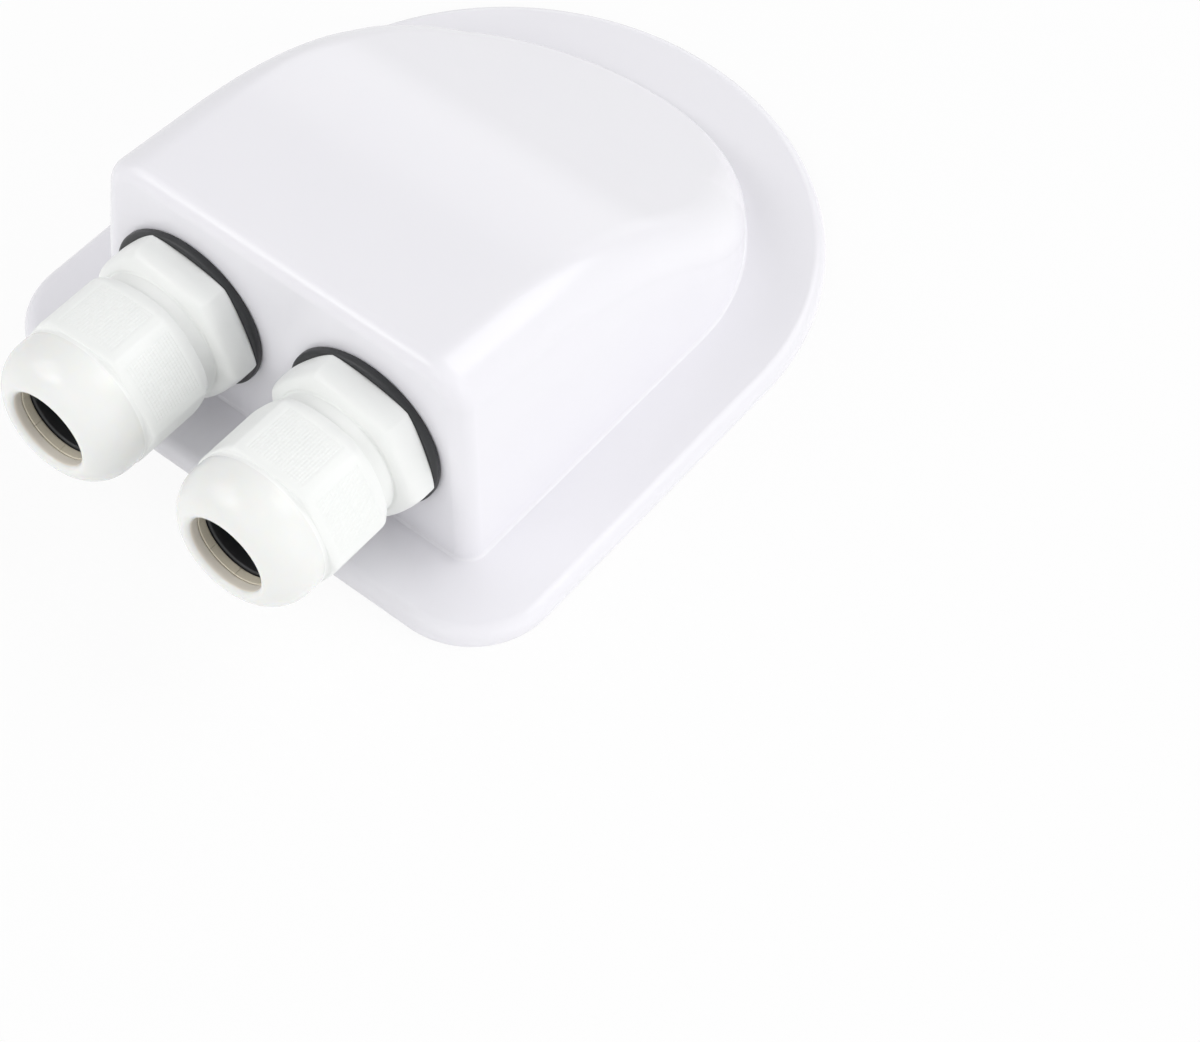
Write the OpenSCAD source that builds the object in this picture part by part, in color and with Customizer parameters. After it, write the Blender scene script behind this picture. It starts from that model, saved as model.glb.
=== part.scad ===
// Roof cable entry box: a moulded D-shaped hood on a bonding flange, with two cable glands in its front wall.
// Millimetres, +Z up. The underside lies on z = 0 and the glands point along -Y.

/* [Flange] */
// Thickness of the bonding flange
flange_thickness = 3; // [2:0.1:6]
// Width of the flange beside the hood
flange_margin = 12.9; // [8:0.1:25]
// Width of the flange behind the hood
flange_back = 13.2; // [8:0.1:25]
// Width of the flange in front of the hood
flange_front = 12.4; // [8:0.1:25]
// Radius of the two front corners of the flange
flange_corner_radius = 14; // [4:0.5:30]
// Radius of the rounded upper edge of the flange
flange_edge_radius = 2.2; // [0.5:0.1:4]

/* [Hood] */
// Length of the straight sides, from the front wall to the centre of the round back
hood_straight = 56; // [44:1:90]
// Room between the washers and the sides of the hood, at its foot
side_room = 5.7; // [4.6:0.1:20]
// Room between the washers and the roof
roof_room = 7.6; // [6:0.1:20]
// Fall of the front part of the roof, in degrees
roof_fall = 5.4; // [0:0.1:10]
// Distance from the front wall to the knee, where the roof turns into the back ramp
knee_distance = 36.4; // [28:0.1:50]
// Radius of the knee
knee_radius = 78; // [20:1:95]
// Height of the hood above the flange at the very back
back_lip = 1.2; // [0.6:0.1:6]
// Radius of the long shoulders between roof and sides
shoulder_radius = 7.4; // [5:0.1:11]
// Radius of the edge round the front wall
front_edge_radius = 3; // [1.5:0.1:4]
// Height of the faint crease along the sides, at the front wall
crease_height = 24.8; // [15:0.1:30]
// Fall of the crease towards the back, in degrees
crease_fall = 3; // [0:0.5:8]
// Draft of the sides below the crease, in degrees
lower_draft = 4.2; // [1:0.1:6]
// Draft of the sides above the crease, in degrees
upper_draft = 5.6; // [1:0.1:8]
// Wall thickness of the hood
wall = 3; // [2:0.1:3.6]

/* [Gland bodies] */
// Diameter of the entry thread, which passes through the front wall
entry_thread_diameter = 20; // [16:0.5:25]
// Wall of the gland body inside its entry thread
entry_wall = 3; // [2:0.1:4]
// Difference in diameter between the clamping thread and the entry thread
clamp_step = 1.2; // [0:0.1:4]
// Length of the clamping thread, which carries the dome nut
clamp_thread_length = 10; // [8:0.5:12]
// Thickness of the hexagon of a gland body
body_hex_thickness = 5.5; // [4:0.1:9]
// Difference in width across flats between a gland body and its dome nut
body_flats_step = 1.4; // [0:0.1:4]
// Room between the two washers
gland_room = 6.2; // [4:0.1:20]
// Room between the washers and the flange
foot_room = 4.4; // [2.5:0.1:10]
// Turn of the left gland body about its axis, in degrees
left_body_turn = -6; // [-60:1:60]
// Turn of the right gland body about its axis, in degrees
right_body_turn = -8; // [-60:1:60]

/* [Dome nuts] */
// Wall of a dome nut between its thread and its flats
nut_wall = 1; // [0.8:0.1:3]
// Length of the hexagon of a dome nut
nut_hex_length = 12.6; // [12:0.1:18]
// Length of the dome in front of the hexagon
dome_length = 8.6; // [8:0.1:12]
// Depth of the valley between the hexagon and the dome, below the flats
valley_depth = 0.6; // [0.3:0.1:0.8]
// Radius of the dome's rounded nose
nose_radius = 6.3; // [4:0.1:7]
// Radius of the lip round the cable hole
lip_radius = 1; // [0.5:0.1:1.5]
// Length of the lip round the cable hole
lip_length = 2.4; // [2:0.1:4]
// Gap between the gland body and the dome nut as they stand
nut_gap = 2.6; // [1.6:0.1:4]
// Turn of the left dome nut about its axis, in degrees
left_nut_turn = 4; // [-60:1:60]
// Turn of the right dome nut about its axis, in degrees
right_nut_turn = -4; // [-60:1:60]

/* [Claw inserts and seals] */
// Wall of the gland body round the claw insert
socket_wall = 1.9; // [1.2:0.1:3]
// Wall thickness of the claws
claw_wall = 1.3; // [0.8:0.1:2]
// Wall thickness of a seal sleeve
seal_wall = 1; // [0.7:0.1:2]
// Room between the cable bore of a seal and the edge of the nut's hole
hole_room = 0.5; // [0.3:0.05:0.9]
// Number of claws in an insert
claw_count = 8; // [4:1:12]
// Width of the slots between the claws
claw_slot = 1.1; // [0.6:0.1:1.6]
// Length of the claws' inward tips
claw_tip_length = 2.5; // [1.5:0.1:4]
// Length of the closed ring behind the claws
claw_ring_length = 3; // [2:0.1:5]
// Thickness of the seal's foot, behind the claw insert
seal_foot = 1.3; // [0.8:0.1:2]

/* [Washers and locknuts] */
// How far a washer stands out past the flats of the gland body
washer_rim = 1; // [0.5:0.1:3]
// Thickness of a washer
washer_thickness = 1.5; // [1:0.1:3]
// Wall of a locknut between its thread and its flats
locknut_wall = 2.8; // [2:0.1:3]
// Thickness of a locknut
locknut_thickness = 5; // [4:0.5:6]
// How far the entry thread stands out past the locknut
thread_stub = 2; // [0.5:0.5:6]

/* [Hidden] */
$fn = 96;

left = 0;
right = 1;
body_turn = [left_body_turn, right_body_turn];
nut_turn = [left_nut_turn, right_nut_turn];

past = 1;                  // how far a cut runs past the face that it opens
running = 0.3;             // clearance between faces that move on each other
snug = 0.1;                // clearance between curved faces that only sit in each other
tighten_travel = 1.5;      // how far a dome nut can still be screwed on, one turn of its thread

// Radii of a gland, from its entry thread: outwards to the flats, then inwards to the cable
entry_r = entry_thread_diameter / 2;
entry_bore_r = entry_r - entry_wall;
wall_hole_r = entry_r + running;
clamp_r = entry_r + clamp_step / 2;
nut_thread_r = clamp_r + running;
nut_flats = 2 * (nut_thread_r + nut_wall);
body_flats = nut_flats + body_flats_step;
washer_r = body_flats / 2 + washer_rim;
locknut_flats = 2 * (entry_r + locknut_wall);
socket_r = clamp_r - socket_wall;
claw_r = socket_r - running;
claw_inner_r = claw_r - claw_wall;
seal_r = claw_inner_r - snug;
seal_bore_r = seal_r - seal_wall;
nut_hole_r = seal_bore_r + hole_room;
claw_tip_r = nut_hole_r - snug;
claw_nose_r = claw_tip_r + claw_wall;

// Hexagons are turned down at their corners and run out in cones towards the thread between them
body_corner_r = body_flats / 2 / cos(30);
body_corner_trim = 0.3;
body_turned_r = body_corner_r - body_corner_trim;
body_front_rim = 0.5;
body_front_chamfer = 1.6;
body_back_chamfer = 0.5;
nut_corner_r = nut_flats / 2 / cos(30);
nut_corner_trim = 0.6;
nut_turned_r = nut_corner_r - nut_corner_trim;
nut_back_rim = 0.7;
nut_back_chamfer = 1.9;
locknut_corner_r = locknut_flats / 2 / cos(30);
locknut_chamfer = 0.8;
thread_lead = 0.6;

// Places along the axis of a gland, outwards from the front wall
locknut_start = -wall - locknut_thickness;
thread_start = locknut_start - thread_stub;
hex_start = washer_thickness;
hex_end = hex_start + body_hex_thickness;
clamp_end = hex_end + clamp_thread_length;
nut_start = hex_end + nut_gap;
nut_shoulder = nut_start + nut_hex_length;
nut_end = nut_shoulder + dome_length;
throat_start = clamp_end + tighten_travel + running;
throat_end = nut_end - lip_length;
claw_end = throat_end - running;
claw_tip_start = claw_end - claw_tip_length;
socket_seat = 0.8;
socket_start = hex_end + socket_seat;
seal_start = socket_start + tighten_travel + running;
claw_start = seal_start + seal_foot;
seal_end = claw_tip_start - snug;

// Section of a dome nut: the shoulder and the dome meet in the valley, and the nose runs into the lip
valley_r = nut_flats / 2 - valley_depth;
nut_shoulder_r = nut_turned_r - valley_r;
dome_step = 0.2;           // how far the dome lies inside the flats
dome_r = nut_flats / 2 - dome_step;
dome_back_r = 2;
dome_start = nut_shoulder + sqrt(dome_back_r * dome_back_r - pow(dome_back_r - dome_r + valley_r, 2));
lip_centre = [nut_hole_r + lip_radius, nut_end - lip_radius];
nose_r = dome_r - nose_radius;
nose_start = lip_centre[1] - sqrt(pow(nose_radius - lip_radius, 2) - pow(lip_centre[0] - nose_r, 2));
lip_meet_r = nose_r + (lip_centre[0] - nose_r) * nose_radius / (nose_radius - lip_radius);

// Plan of the front wall, the hood and the flange
edge_share = 0.8;          // largest share of the flange's thickness that its rounded edge takes
gland_spacing = 2 * washer_r + gland_room;
gland_height = flange_thickness + foot_room + washer_r;
hood_height = gland_height + washer_r + roof_room;
hood_half = gland_spacing / 2 + washer_r + side_room;
hood_length = hood_straight + hood_half;
flange_half = hood_half + flange_margin;
flange_round = min(flange_edge_radius, edge_share * flange_thickness);
front_y = (nut_end - hood_length - flange_back) / 2;

// Roof: a falling line, a knee arc and a straight ramp down to the back
knee_top = hood_height - knee_distance * tan(roof_fall);
back_top = flange_thickness + back_lip;
ramp_angle = atan((knee_top - back_top) / (hood_length - knee_distance));
knee_reach = knee_radius * tan((ramp_angle - roof_fall) / 2);
knee_start = knee_distance - knee_reach * cos(roof_fall);
knee_centre_s = knee_start - knee_radius * sin(roof_fall);
knee_centre_z = hood_height - knee_start * tan(roof_fall) - knee_radius * cos(roof_fall);

// Loft of the hood
root_depth = 2;            // how deep the hood's foot sits in the flange
shoulder_share = 0.7;      // largest share of the local height that a shoulder takes
crease_share = 0.8;        // largest share of the local side wall below the crease
smallest_radius = 0.8;     // smallest radius inside the hood
edge_steps = 4;
straight_steps = 18;
back_steps = 20;
back_end_angle = 87;       // the last few degrees of the round back close with one flat facet
shoulder_steps = 8;

// Height of the roof at distance s from the front wall, lowered squarely by skin
function roof_z(s, skin) =
    let (r = knee_radius - skin)
    s <= knee_centre_s + r * sin(roof_fall)
        ? hood_height - s * tan(roof_fall) - skin / cos(roof_fall)
        : s >= knee_centre_s + r * sin(ramp_angle)
            ? back_top + (hood_length - s) * tan(ramp_angle) - skin / cos(ramp_angle)
            : knee_centre_z + sqrt(r * r - (s - knee_centre_s) * (s - knee_centre_s));

// Stations along the hood: [distance from the front wall, angle round the back, inset of the front edge]
function front_stations(skin, edge_r) =
    [for (i = [0 : edge_steps])
        let (a = 90 * i / edge_steps)
        [skin + edge_r * (1 - cos(a)), 0, edge_r * (1 - sin(a))]];

function side_stations(skin, edge_r) =
    let (start = skin + edge_r)
    [for (i = [1 : straight_steps]) [start + (hood_straight - start) * i / straight_steps, 0, 0]];

function back_stations() =
    [for (i = [1 : back_steps]) [hood_straight, back_end_angle * i / back_steps, 0]];

function hood_stations(skin, edge_r) =
    concat(front_stations(skin, edge_r), side_stations(skin, edge_r), back_stations());

// Point of the hood at a station, inset from the foot line and dropped from the roof or set at height z
function plan_x(st, inset) = (hood_half - inset) * cos(st[1]);
function plan_s(st, inset) = st[0] + (st[1] > 0 ? (hood_half - inset) * sin(st[1]) : 0);

// Inset of the drafted side at height z, with its crease at crease_z
function side_inset(z, crease_z) =
    z <= crease_z
        ? (z - flange_thickness) * tan(lower_draft)
        : (crease_z - flange_thickness) * tan(lower_draft) + (z - crease_z) * tan(upper_draft);

// One half of the section at a station, from the foot to the roof
function half_section(st, skin, foot_z) =
    let (s = plan_s(st, skin),
         roof = roof_z(s, skin) - st[2],
         room = roof_z(s, 0) - flange_thickness,
         r = max(min(shoulder_radius, shoulder_share * room) - skin - st[2], smallest_radius),
         side_top = roof - r,
         crease_z = min(crease_height - s * tan(crease_fall), foot_z + crease_share * (side_top - foot_z)),
         top_inset = side_inset(side_top, crease_z))
    concat(
        [for (z = [foot_z, crease_z])
            let (inset = skin + st[2] + side_inset(z, crease_z))
            [plan_x(st, inset), plan_s(st, inset), z]],
        [for (i = [0 : shoulder_steps])
            let (a = 90 * i / shoulder_steps,
                 inset = skin + st[2] + top_inset + r * (1 - cos(a)),
                 ps = plan_s(st, inset),
                 drop = st[2] + r * (1 - sin(a)))
            [plan_x(st, inset), ps, roof_z(ps, skin) - drop]]);

// Closed loft through the stations; each section runs up the right side and down the left
module hood_loft(skin, edge_r, foot_z) {
    rows = [for (st = hood_stations(skin, edge_r)) half_section(st, skin, foot_z)];
    half = len(rows[0]);
    ring = 2 * half;
    last = len(rows) - 1;
    points = [for (row = rows)
        each concat([for (p = row) [p[0], front_y + p[1], p[2]]],
                    [for (i = [half - 1 : -1 : 0]) [-row[i][0], front_y + row[i][1], row[i][2]]])];
    skin_faces = [for (j = [0 : last - 1], i = [0 : ring - 1])
        let (k = (i + 1) % ring, a = j * ring, b = a + ring)
        each [[a + i, b + k, b + i], [a + i, a + k, b + k]]];
    front_cap = [for (i = [0 : half - 2])
        each [[i, ring - 2 - i, i + 1], [i, ring - 1 - i, ring - 2 - i]]];
    back_cap = [for (f = front_cap) [for (i = [2 : -1 : 0]) last * ring + f[i]]];
    polyhedron(points, concat(skin_faces, front_cap, back_cap), convexity = 6);
}

// Section of a plate edge of the given reach, square below and rounded above
module rounded_edge(reach) {
    core = reach - flange_round;
    square([core, flange_thickness]);
    square([reach, flange_thickness - flange_round]);
    intersection() {
        translate([core, flange_thickness - flange_round]) circle(flange_round);
        square([reach, flange_thickness]);
    }
}

// D-shaped flange: a round back, two straight sides and two front corners
module flange() {
    corner_x = flange_half - flange_corner_radius;
    corner_y = front_y - flange_front + flange_corner_radius;
    centre_y = front_y + hood_straight + flange_back - flange_margin;
    translate([0, centre_y, 0]) rotate_extrude() rounded_edge(flange_half);
    for (side = [-1, 1])
        translate([side * corner_x, corner_y, 0]) rotate_extrude() rounded_edge(flange_corner_radius);
    translate([0, centre_y, 0]) rotate([90, 0, 0]) linear_extrude(centre_y - corner_y) {
        rounded_edge(flange_half);
        mirror([1, 0, 0]) rounded_edge(flange_half);
    }
    translate([-corner_x, corner_y, 0]) rotate([90, 0, 90]) linear_extrude(2 * corner_x)
        mirror([1, 0, 0]) rounded_edge(flange_corner_radius);
}

// Sets a gland piece, drawn along +Z from the front wall, on the left or right gland axis
module at_gland(side) {
    translate([(side - 0.5) * gland_spacing, front_y, gland_height]) rotate([90, 0, 0]) children();
}

// Hexagonal prism by its width across flats
module hex_prism(flats, start, end) {
    translate([0, 0, start]) cylinder(r = flats / 2 / cos(30), h = end - start, $fn = 6);
}

// Round bar or bore along the gland axis
module round_bar(r, start, end) {
    translate([0, 0, start]) cylinder(r = r, h = end - start);
}

module housing() {
    color("ghostwhite") difference() {
        union() {
            flange();
            hood_loft(0, front_edge_radius, flange_thickness - root_depth);
        }
        hood_loft(wall, smallest_radius, -past);
        for (side = [left, right])
            at_gland(side) round_bar(wall_hole_r, -wall - past, past);
    }
}

module washer() {
    color([0.15, 0.16, 0.17]) difference() {
        round_bar(washer_r, 0, washer_thickness);
        round_bar(wall_hole_r, -past, washer_thickness + past);
    }
}

// Gland body: hexagon, entry thread behind it, clamping thread in front, and a socket for the insert
module gland_body(side) {
    color("whitesmoke") difference() {
        union() {
            intersection() {
                rotate([0, 0, body_turn[side]]) hex_prism(body_flats, hex_start, hex_end);
                rotate_extrude() polygon([
                    [0, hex_start],
                    [body_turned_r - body_back_chamfer, hex_start],
                    [body_turned_r, hex_start + body_back_chamfer],
                    [body_turned_r, hex_end - body_front_chamfer],
                    [clamp_r + body_front_rim, hex_end],
                    [0, hex_end]]);
            }
            rotate_extrude() polygon([
                [0, thread_start],
                [entry_r - thread_lead, thread_start],
                [entry_r, thread_start + thread_lead],
                [entry_r, hex_start + thread_lead],
                [clamp_r, hex_end - thread_lead],
                [clamp_r, clamp_end - thread_lead],
                [clamp_r - thread_lead, clamp_end],
                [0, clamp_end]]);
        }
        round_bar(entry_bore_r, thread_start - past, socket_start + past);
        round_bar(socket_r, socket_start, clamp_end + past);
    }
}

module locknut() {
    color("whitesmoke") difference() {
        intersection() {
            rotate([0, 0, 30]) hex_prism(locknut_flats, locknut_start, -wall);
            rotate_extrude() polygon([
                [0, locknut_start],
                [locknut_corner_r - locknut_chamfer, locknut_start],
                [locknut_corner_r, locknut_start + locknut_chamfer],
                [locknut_corner_r, -wall - locknut_chamfer],
                [locknut_corner_r - locknut_chamfer, -wall],
                [0, -wall]]);
        }
        round_bar(entry_r + snug, locknut_start - past, past);
    }
}

// Claw insert: a ring with fingers whose tips turn in behind the hole of the dome nut
module claw_insert() {
    slot_start = claw_start + claw_ring_length;
    color("gainsboro") difference() {
        rotate_extrude() polygon([
            [claw_inner_r, claw_start],
            [claw_r, claw_start],
            [claw_r, throat_start],
            [claw_nose_r, claw_end],
            [claw_tip_r, claw_end],
            [claw_tip_r, claw_tip_start + claw_inner_r - claw_tip_r],
            [claw_inner_r, claw_tip_start]]);
        for (i = [0 : claw_count - 1])
            rotate([0, 0, 360 * i / claw_count])
                translate([0, -claw_slot / 2, slot_start])
                    cube([claw_r + past, claw_slot, claw_end + past - slot_start]);
    }
}

// Rubber seal: a sleeve inside the claws, with a foot behind them
module seal() {
    color([0.1, 0.1, 0.11]) difference() {
        union() {
            round_bar(claw_r, seal_start, claw_start);
            round_bar(seal_r, seal_start, seal_end);
        }
        round_bar(seal_bore_r, seal_start - past, seal_end + past);
    }
}

// Outside of a dome nut: the hexagon's turned corners and shoulder, then the dome and its rounded nose
module nut_outline() {
    corner_end = nut_shoulder - nut_shoulder_r;
    polygon([
        [0, nut_start],
        [nut_thread_r + nut_back_rim, nut_start],
        [nut_turned_r, nut_start + nut_back_chamfer],
        [nut_turned_r, corner_end],
        [0, corner_end]]);
    translate([valley_r, corner_end]) circle(nut_shoulder_r);
    translate([0, corner_end]) square([valley_r, dome_start - corner_end]);
    translate([dome_r - dome_back_r, dome_start]) circle(dome_back_r);
    translate([0, dome_start]) square([dome_r, nose_start - dome_start]);
    translate([nose_r, nose_start]) circle(nose_radius);
}

// Inside of a dome nut: thread bore, throat round the claws, and the cable hole with its rounded lip
module nut_inside() {
    polygon([
        [0, nut_start - past],
        [nut_thread_r, nut_start - past],
        [nut_thread_r, throat_start],
        [claw_r + running, throat_start],
        [claw_nose_r + running, throat_end],
        [nut_hole_r, throat_end],
        [nut_hole_r, nut_end + past],
        [0, nut_end + past]]);
    difference() {
        translate([0, lip_centre[1]]) square([lip_meet_r, lip_radius + past]);
        translate(lip_centre) circle(lip_radius);
    }
}

module dome_nut(side) {
    color("white") difference() {
        intersection() {
            rotate_extrude() intersection() {
                nut_outline();
                square([nut_corner_r, nut_end]);
            }
            rotate([0, 0, nut_turn[side]]) hex_prism(nut_flats, nut_start - past, nut_end + past);
        }
        rotate_extrude() nut_inside();
    }
}

housing();
at_gland(left) washer();  // left_washer
at_gland(left) gland_body(left);  // left_gland_body
at_gland(left) locknut();  // left_locknut
at_gland(left) claw_insert();  // left_claw_insert
at_gland(left) seal();  // left_seal
at_gland(left) dome_nut(left);  // left_dome_nut
at_gland(right) washer();  // right_washer
at_gland(right) gland_body(right);  // right_gland_body
at_gland(right) locknut();  // right_locknut
at_gland(right) claw_insert();  // right_claw_insert
at_gland(right) seal();  // right_seal
at_gland(right) dome_nut(right);  // right_dome_nut
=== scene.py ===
"""Looks of a roof cable entry box: a moulded hood on a bonding flange, with two cable glands in front."""

import logging
import math
from collections.abc import Callable, Sequence
from dataclasses import dataclass
from enum import Enum, IntEnum

import bmesh
import bpy
from mathutils import Matrix, Vector


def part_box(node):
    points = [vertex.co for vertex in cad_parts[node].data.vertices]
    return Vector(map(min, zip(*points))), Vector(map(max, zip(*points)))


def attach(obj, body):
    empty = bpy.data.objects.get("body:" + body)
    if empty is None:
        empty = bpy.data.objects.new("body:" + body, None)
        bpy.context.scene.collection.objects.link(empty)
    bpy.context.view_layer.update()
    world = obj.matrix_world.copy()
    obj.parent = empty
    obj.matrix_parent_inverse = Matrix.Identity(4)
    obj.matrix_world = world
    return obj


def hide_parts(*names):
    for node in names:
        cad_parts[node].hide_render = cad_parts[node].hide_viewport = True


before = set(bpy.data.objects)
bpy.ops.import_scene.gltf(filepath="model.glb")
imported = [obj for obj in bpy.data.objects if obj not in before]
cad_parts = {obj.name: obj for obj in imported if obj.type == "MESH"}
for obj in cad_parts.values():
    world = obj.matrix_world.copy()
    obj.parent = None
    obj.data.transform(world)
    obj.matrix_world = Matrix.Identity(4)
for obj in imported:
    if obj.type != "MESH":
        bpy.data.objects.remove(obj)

MM = 0.001
PHOTO_WIDTH_PX = 1200
WHITE = "#FFFFFF"
# Lengths closer than this count as the same, in millimetres
NEAR = 0.01
# Points closer than this count as one, in millimetres
SAME_POINT = 1e-6
# Light goes further into plastic the redder it is
WARM_SCATTER = (1.0, 0.8, 0.55)

Point2 = tuple[float, float]
Point3 = tuple[float, float, float]
Corner = tuple[float, float, float]
# Radius of a revolved point from its angle a, section place (r, w), and grid numbers i round and j along
Shape = Callable[[float, float, float, int, int], float]

log = logging.getLogger("cable_entry_box")


class Side(Enum):
    """The two glands, by the side of the box that they stand on."""

    LEFT = "left"
    RIGHT = "right"


class Skin(Enum):
    """The two faces of the hood's wall."""

    OUTER = "outer"
    INNER = "inner"


class NutZone(IntEnum):
    """The zones of a dome nut, by the number of their finish."""

    HEXAGON = 0
    NOSE = 1
    # Inside the hole the nylon carries a painted warm shade
    HOLE = 2


def linear(hex_code: str) -> tuple[float, float, float, float]:
    """Turns an sRGB hex colour into a linear colour.

    Args:
        hex_code: six hex digits after a hash sign.

    Returns:
        Red, green, blue and an alpha of 1.
    """
    channels = [int(hex_code[i : i + 2], 16) / 255 for i in (1, 3, 5)]
    red, green, blue = (c / 12.92 if c <= 0.04045 else ((c + 0.055) / 1.055) ** 2.4 for c in channels)
    return red, green, blue, 1.0


def add_node(tree: bpy.types.NodeTree, kind: str, settings: dict | None = None,
             links: dict | None = None) -> bpy.types.Node:
    """Adds a shader node with its settings and links.

    Args:
        tree: the node tree that gets the node.
        kind: the node's type name.
        settings: values by socket name or number, or by attribute name.
        links: source sockets by the name or number of the input that they feed.

    Returns:
        The new node.
    """
    node = tree.nodes.new(kind)
    for key, value in (settings or {}).items():
        if isinstance(key, int) or key in node.inputs:
            node.inputs[key].default_value = value
        else:
            setattr(node, key, value)
    for key, source in (links or {}).items():
        tree.links.new(source, node.inputs[key])
    return node


@dataclass(frozen=True)
class MouldedFinish:
    """A moulded plastic or rubber surface: two close tones, a grain from the mould and a slow waviness.

    Args:
        name: the material's common name and how its surface was made.
        colour: main sRGB colour.
        shade: second sRGB colour, which the mottle leans towards.
        roughness: mean roughness.
        roughness_spread: how far the roughness swings either way.
        ior: index of refraction.
        grain_mm: size of the mould's grain.
        grain_height_mm: height of that grain.
        wave_mm: size of the slow waviness, from sink and flow.
        wave_height_mm: height of the waviness.
        translucency: share of light that scatters inside the plastic.
        depth_mm: how deep that light goes.
    """

    name: str
    colour: str
    shade: str
    roughness: float
    roughness_spread: float
    ior: float
    grain_mm: float
    grain_height_mm: float
    wave_mm: float
    wave_height_mm: float
    translucency: float = 0.0
    depth_mm: float = 1.0

    def material(self) -> bpy.types.Material:
        """Builds the material.

        Returns:
            A material with its own procedural nodes.
        """
        made = bpy.data.materials.new(self.name)
        made.use_nodes = True
        tree = made.node_tree
        tree.nodes.clear()
        place = add_node(tree, "ShaderNodeTexCoord").outputs["Object"]
        per_metre = 1 / MM
        wave = add_node(tree, "ShaderNodeTexNoise", {"Scale": per_metre / self.wave_mm, "Detail": 2.0},
                        {"Vector": place}).outputs["Fac"]
        grain = add_node(tree, "ShaderNodeTexNoise", {"Scale": per_metre / self.grain_mm, "Detail": 3.0},
                         {"Vector": place}).outputs["Fac"]
        tone = add_node(tree, "ShaderNodeMix",
                        {"data_type": "RGBA", 6: linear(self.colour), 7: linear(self.shade)},
                        {0: wave}).outputs[2]
        gloss = add_node(tree, "ShaderNodeMapRange",
                         {"To Min": self.roughness - self.roughness_spread,
                          "To Max": self.roughness + self.roughness_spread}, {"Value": grain}).outputs[0]
        waves = add_node(tree, "ShaderNodeBump", {"Strength": 1.0, "Distance": self.wave_height_mm * MM},
                         {"Height": wave}).outputs["Normal"]
        bumps = add_node(tree, "ShaderNodeBump", {"Strength": 1.0, "Distance": self.grain_height_mm * MM},
                         {"Height": grain, "Normal": waves}).outputs["Normal"]
        shader = add_node(tree, "ShaderNodeBsdfPrincipled",
                          {"IOR": self.ior, "Subsurface Weight": self.translucency,
                           "Subsurface Radius": WARM_SCATTER, "Subsurface Scale": self.depth_mm * MM},
                          {"Base Color": tone, "Roughness": gloss, "Normal": bumps})
        add_node(tree, "ShaderNodeOutputMaterial", links={"Surface": shader.outputs[0]})
        return made


# A grain finer than about half a millimetre would not show in the render, so each one is drawn that coarse

# ABS from a polished mould: a clean cool white with a soft gloss, slightly wavy where the wall shrank
ABS_POLISHED = MouldedFinish("abs_polished_mould", "#F0EFF3", "#EEEDF2", 0.24, 0.03, 1.54,
                             grain_mm=0.6, grain_height_mm=0.002, wave_mm=18, wave_height_mm=0.03)
# Nylon from a spark-eroded mould: a neutral satin white with a fine pebble on the flats
NYLON_PEBBLED = MouldedFinish("nylon_pebbled_mould", "#F6F7F5", "#F1F3F1", 0.42, 0.05, 1.53,
                              grain_mm=0.5, grain_height_mm=0.02, wave_mm=6, wave_height_mm=0.02)
# Nylon from a polished cavity: the same white, waxy and glossier, as on the noses of the nuts
NYLON_POLISHED = MouldedFinish("nylon_polished_mould", "#F2F3F1", "#EFF0ED", 0.22, 0.02, 1.53,
                               grain_mm=0.6, grain_height_mm=0.002, wave_mm=5, wave_height_mm=0.03,
                               translucency=0.35, depth_mm=1.5)
# The same nylon inside the hole, with a warm cream painted in as shade and as light thrown from the claws
NYLON_LIP_PAINTED_SHADE = MouldedFinish("nylon_lip_painted_warm_shade", "#F7F1E6", "#F3ECE0", 0.3, 0.03, 1.53,
                          grain_mm=0.6, grain_height_mm=0.002, wave_mm=5, wave_height_mm=0.03)
# Undyed nylon: a warm grey-beige, as the claws show inside the hole
NYLON_NATURAL = MouldedFinish("nylon_natural_moulded", "#E4DDCC", "#D9D1BD", 0.35, 0.05, 1.53,
                              grain_mm=0.8, grain_height_mm=0.005, wave_mm=3, wave_height_mm=0.02)
# Nitrile rubber pressed in a mould: near black with a dull sheen
RUBBER_PRESSED = MouldedFinish("nitrile_rubber_pressed", "#262729", "#1E1F21", 0.48, 0.08, 1.52,
                               grain_mm=0.4, grain_height_mm=0.006, wave_mm=4, wave_height_mm=0.03)


def soft_min(a: float, b: float, blend: float) -> float:
    """Gives the smaller of two radii, rounded where they meet.

    Args:
        a: first radius.
        b: second radius.
        blend: difference below which the corner is rounded.

    Returns:
        The blended radius.
    """
    share = max(blend - abs(a - b), 0.0) / blend
    return min(a, b) - share * share * blend / 4


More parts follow.
